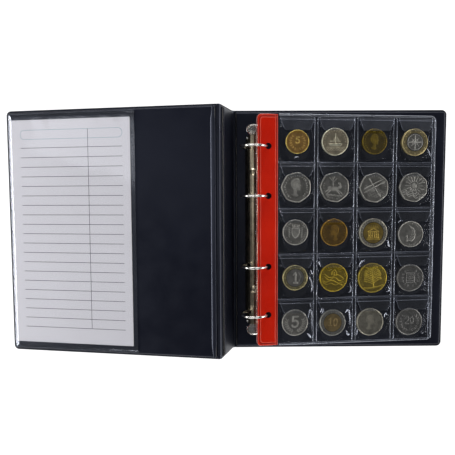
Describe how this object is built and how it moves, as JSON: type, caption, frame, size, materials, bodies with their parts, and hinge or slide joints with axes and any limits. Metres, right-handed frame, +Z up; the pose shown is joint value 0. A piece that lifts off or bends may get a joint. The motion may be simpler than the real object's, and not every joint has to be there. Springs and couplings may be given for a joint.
{
  "type": "coin album",
  "caption": "Ring-bound coin album lying open: padded dark covers, ring mechanism with press levers, a clear pocket page of loose coins on a red binding strip, and a ruled index card.",
  "frame": {"origin": "middle of the back cover's underside, on the table", "axes": "+X from the back hinge line to the back cover's free edge, +Y towards the top of the page, +Z up from the table"},
  "size_m": [0.414, 0.2268, 0.0358],
  "materials": {
    "cover_skin": "fine-grained soft-sheen vinyl, near-black navy",
    "cover_lining": "fine-grained soft-sheen vinyl, near-black navy",
    "board": "grey board, hidden",
    "hinge_strip": "welded vinyl fold",
    "clear_film": "clear soft film",
    "card": "ruled card, pale lavender white",
    "nickel": "bright nickel plate",
    "binding_strip": "satin red plastic",
    "coin_silver": "worn cupronickel",
    "coin_bronze": "worn bronze",
    "coin_brass": "worn brass"
  },
  "bodies": {
    "back_cover": {"back_outer_skin": "cover_skin", "back_board": "board", "back_lining": "cover_lining", "back_hinge_strip": "hinge_strip", "mechanism_plate": "nickel", "upper_rivet": "nickel", "lower_rivet": "nickel"},
    "spine": {"spine_outer_skin": "cover_skin", "spine_board": "board", "spine_lining": "cover_lining", "front_hinge_strip": "hinge_strip"},
    "front_cover": {"front_outer_skin": "cover_skin", "front_board": "board", "front_lining": "cover_lining", "index_pocket_film": "clear_film"},
    "index_card": {"index_card": "card"},
    "left_rings": {"left_blade": "nickel", "ring_1_left": "nickel", "ring_2_left": "nickel", "ring_3_left": "nickel", "ring_4_left": "nickel"},
    "right_rings": {"right_blade": "nickel", "ring_1_right": "nickel", "ring_2_right": "nickel", "ring_3_right": "nickel", "ring_4_right": "nickel"},
    "upper_lever": {"upper_lever": "nickel"},
    "lower_lever": {"lower_lever": "nickel"},
    "page": {"binding_strip": "binding_strip", "page_back_film": "clear_film", "pocket_row_1": "clear_film", "pocket_row_2": "clear_film", "pocket_row_3": "clear_film", "pocket_row_4": "clear_film", "pocket_row_5": "clear_film", "flap_row_1": "clear_film", "flap_row_2": "clear_film", "flap_row_3": "clear_film", "flap_row_4": "clear_film", "flap_row_5": "clear_film"},
    "coin_1_1": {"coin_1_1": "coin_bronze"},
    "coin_1_2": {"coin_1_2": "coin_silver"},
    "coin_1_3": {"coin_1_3": "coin_brass"},
    "coin_1_4": {"coin_1_4": "coin_brass"},
    "coin_2_1": {"coin_2_1": "coin_silver"},
    "coin_2_2": {"coin_2_2": "coin_silver"},
    "coin_2_3": {"coin_2_3": "coin_silver"},
    "coin_2_4": {"coin_2_4": "coin_silver"},
    "coin_3_1": {"coin_3_1": "coin_silver"},
    "coin_3_2": {"coin_3_2": "coin_bronze"},
    "coin_3_3": {"coin_3_3": "coin_silver"},
    "coin_3_4": {"coin_3_4": "coin_silver"},
    "coin_4_1": {"coin_4_1": "coin_brass"},
    "coin_4_2": {"coin_4_2": "coin_brass"},
    "coin_4_3": {"coin_4_3": "coin_brass"},
    "coin_4_4": {"coin_4_4": "coin_silver"},
    "coin_5_1": {"coin_5_1": "coin_silver"},
    "coin_5_2": {"coin_5_2": "coin_silver"},
    "coin_5_3": {"coin_5_3": "coin_silver"},
    "coin_5_4": {"coin_5_4": "coin_silver"}
  },
  "joints": [
    {"name": "back_hinge", "type": "hinge", "parent": "back_cover", "child": "spine", "pos_m": [-0.10235, 0, 0.0006], "axis": [0, 1, 0], "range_deg": [-160.5, 19.5], "deforming": ["back_hinge_strip"]},
    {"name": "front_hinge", "type": "hinge", "parent": "spine", "child": "front_cover", "pos_m": [-0.11403, 0, 0.03359], "axis": [0, 1, 0], "range_deg": [-10.12, 169.88], "deforming": ["front_hinge_strip"]},
    {"name": "index_card_slide", "type": "slide", "parent": "front_cover", "child": "index_card", "axis": [0.9866, 0, 0.163], "range_m": [0, 0.065]},
    {"name": "right_rings_open", "type": "hinge", "parent": "back_cover", "child": "right_rings", "pos_m": [-0.07775, 0.0007, 0.0058], "axis": [0, 1, 0], "range_deg": [0, 10]},
    {"name": "left_rings_open", "type": "hinge", "parent": "back_cover", "child": "left_rings", "pos_m": [-0.08775, 0.0007, 0.0058], "axis": [0, 1, 0], "range_deg": [-10, 0]},
    {"name": "upper_lever_press", "type": "hinge", "parent": "back_cover", "child": "upper_lever", "pos_m": [-0.08275, 0.087, 0.0071], "axis": [-1, 0, 0], "range_deg": [0, 12]},
    {"name": "lower_lever_press", "type": "hinge", "parent": "back_cover", "child": "lower_lever", "pos_m": [-0.08275, -0.0856, 0.0071], "axis": [1, 0, 0], "range_deg": [0, 12]},
    {"name": "page_turn", "type": "hinge", "parent": "back_cover", "child": "page", "pos_m": [-0.08275, 0.0007, 0.017], "axis": [0, 1, 0], "range_deg": [-138, 0]},
    {"name": "coin_1_1_slide", "type": "slide", "parent": "page", "child": "coin_1_1", "axis": [0, 1, 0], "range_m": [-0.0063, 0.0106]},
    {"name": "coin_1_2_slide", "type": "slide", "parent": "page", "child": "coin_1_2", "axis": [0, 1, 0], "range_m": [-0.0048, 0.0086]},
    {"name": "coin_1_3_slide", "type": "slide", "parent": "page", "child": "coin_1_3", "axis": [0, 1, 0], "range_m": [-0.0061, 0.0088]},
    {"name": "coin_1_4_slide", "type": "slide", "parent": "page", "child": "coin_1_4", "axis": [0, 1, 0], "range_m": [-0.0049, 0.0085]},
    {"name": "coin_2_1_slide", "type": "slide", "parent": "page", "child": "coin_2_1", "axis": [0, 1, 0], "range_m": [-0.0041, 0.007]},
    {"name": "coin_2_2_slide", "type": "slide", "parent": "page", "child": "coin_2_2", "axis": [0, 1, 0], "range_m": [-0.0042, 0.0069]},
    {"name": "coin_2_3_slide", "type": "slide", "parent": "page", "child": "coin_2_3", "axis": [0, 1, 0], "range_m": [-0.0037, 0.0074]},
    {"name": "coin_2_4_slide", "type": "slide", "parent": "page", "child": "coin_2_4", "axis": [0, 1, 0], "range_m": [-0.004, 0.0071]},
    {"name": "coin_3_1_slide", "type": "slide", "parent": "page", "child": "coin_3_1", "axis": [0, 1, 0], "range_m": [-0.0069, 0.008]},
    {"name": "coin_3_2_slide", "type": "slide", "parent": "page", "child": "coin_3_2", "axis": [0, 1, 0], "range_m": [-0.0055, 0.0077]},
    {"name": "coin_3_3_slide", "type": "slide", "parent": "page", "child": "coin_3_3", "axis": [0, 1, 0], "range_m": [-0.0037, 0.0077]},
    {"name": "coin_3_4_slide", "type": "slide", "parent": "page", "child": "coin_3_4", "axis": [0, 1, 0], "range_m": [-0.0033, 0.0106]},
    {"name": "coin_4_1_slide", "type": "slide", "parent": "page", "child": "coin_4_1", "axis": [0, 1, 0], "range_m": [-0.007, 0.0081]},
    {"name": "coin_4_2_slide", "type": "slide", "parent": "page", "child": "coin_4_2", "axis": [0, 1, 0], "range_m": [-0.0046, 0.0073]},
    {"name": "coin_4_3_slide", "type": "slide", "parent": "page", "child": "coin_4_3", "axis": [0, 1, 0], "range_m": [-0.0027, 0.0077]},
    {"name": "coin_4_4_slide", "type": "slide", "parent": "page", "child": "coin_4_4", "axis": [0, 1, 0], "range_m": [-0.003, 0.0094]},
    {"name": "coin_5_1_slide", "type": "slide", "parent": "page", "child": "coin_5_1", "axis": [0, 1, 0], "range_m": [-0.0062, 0.0077]},
    {"name": "coin_5_2_slide", "type": "slide", "parent": "page", "child": "coin_5_2", "axis": [0, 1, 0], "range_m": [-0.0049, 0.0088]},
    {"name": "coin_5_3_slide", "type": "slide", "parent": "page", "child": "coin_5_3", "axis": [0, 1, 0], "range_m": [-0.0037, 0.0087]},
    {"name": "coin_5_4_slide", "type": "slide", "parent": "page", "child": "coin_5_4", "axis": [0, 1, 0], "range_m": [-0.0028, 0.0096]}
  ],
  "couplings": [
    {"joint": "left_rings_open", "follows": "right_rings_open", "ratio": -1},
    {"joint": "upper_lever_press", "follows": "right_rings_open", "ratio": 1.2},
    {"joint": "lower_lever_press", "follows": "right_rings_open", "ratio": 1.2}
  ]
}
